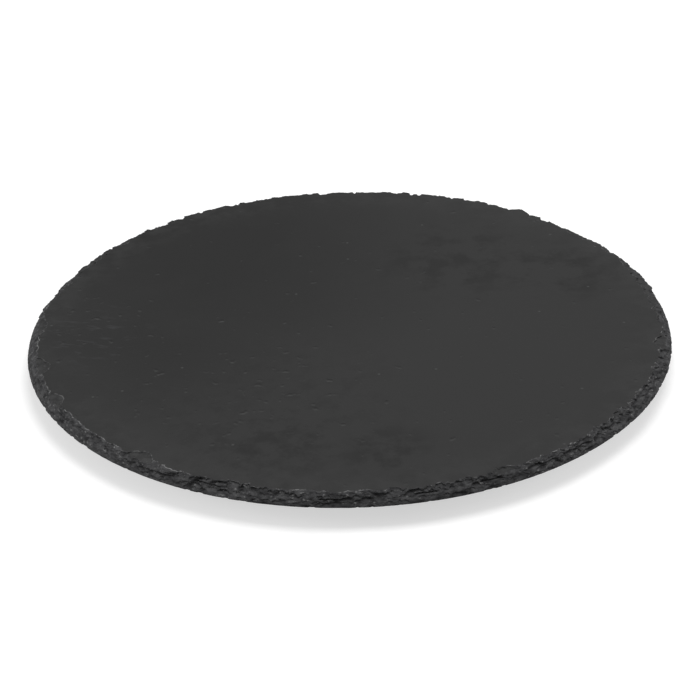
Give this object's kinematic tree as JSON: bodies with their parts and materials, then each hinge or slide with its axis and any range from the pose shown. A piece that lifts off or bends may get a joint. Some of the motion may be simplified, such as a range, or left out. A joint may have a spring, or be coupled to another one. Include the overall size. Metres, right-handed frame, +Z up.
{
  "type": "lazy susan",
  "caption": "Round dark slate serving board with a knapped rim, bonded to a flat aluminium ball-bearing turntable on rubber feet, so that it turns freely on a table.",
  "frame": {"origin": "on the table, under the middle of the board", "axes": "+Z up, along the turning axis; +X and +Y across the board, with a foot on +X"},
  "size_m": [0.4, 0.4, 0.0215],
  "materials": {
    "slate": "natural riven slate, oiled, matt",
    "silicone": "cured silicone adhesive",
    "aluminium": "turned, satin grey anodised",
    "zinced_steel": "bright zinc plated",
    "ball_steel": "polished bearing steel",
    "nylon": "moulded natural nylon",
    "rubber": "moulded, matt black"
  },
  "bodies": {
    "base": {"base_ring": "aluminium", "foot_1": "rubber", "foot_2": "rubber", "foot_3": "rubber", "foot_4": "rubber", "foot_5": "rubber", "foot_6": "rubber"},
    "turntable": {"slate_board": "slate", "bond_ring": "silicone", "upper_race_ring": "aluminium", "lower_race_ring": "aluminium", "race_screw_1": "zinced_steel", "race_screw_2": "zinced_steel", "race_screw_3": "zinced_steel", "race_screw_4": "zinced_steel", "race_screw_5": "zinced_steel", "race_screw_6": "zinced_steel", "race_screw_7": "zinced_steel", "race_screw_8": "zinced_steel"},
    "ball_train": {"ball_cage": "nylon", "ball_01": "ball_steel", "ball_02": "ball_steel", "ball_03": "ball_steel", "ball_04": "ball_steel", "ball_05": "ball_steel", "ball_06": "ball_steel", "ball_07": "ball_steel", "ball_08": "ball_steel", "ball_09": "ball_steel", "ball_10": "ball_steel", "ball_11": "ball_steel", "ball_12": "ball_steel", "ball_13": "ball_steel", "ball_14": "ball_steel", "ball_15": "ball_steel", "ball_16": "ball_steel", "ball_17": "ball_steel", "ball_18": "ball_steel", "ball_19": "ball_steel", "ball_20": "ball_steel", "ball_21": "ball_steel", "ball_22": "ball_steel", "ball_23": "ball_steel", "ball_24": "ball_steel"}
  },
  "joints": [
    {"name": "turntable_spin", "type": "hinge", "parent": "base", "child": "turntable", "pos_m": [0, 0, 0.0071], "axis": [0, 0, 1], "continuous": true},
    {"name": "cage_orbit", "type": "hinge", "parent": "base", "child": "ball_train", "pos_m": [0, 0, 0.0071], "axis": [0, 0, 1], "continuous": true}
  ],
  "couplings": [
    {"joint": "cage_orbit", "follows": "turntable_spin", "ratio": 0.4903}
  ]
}
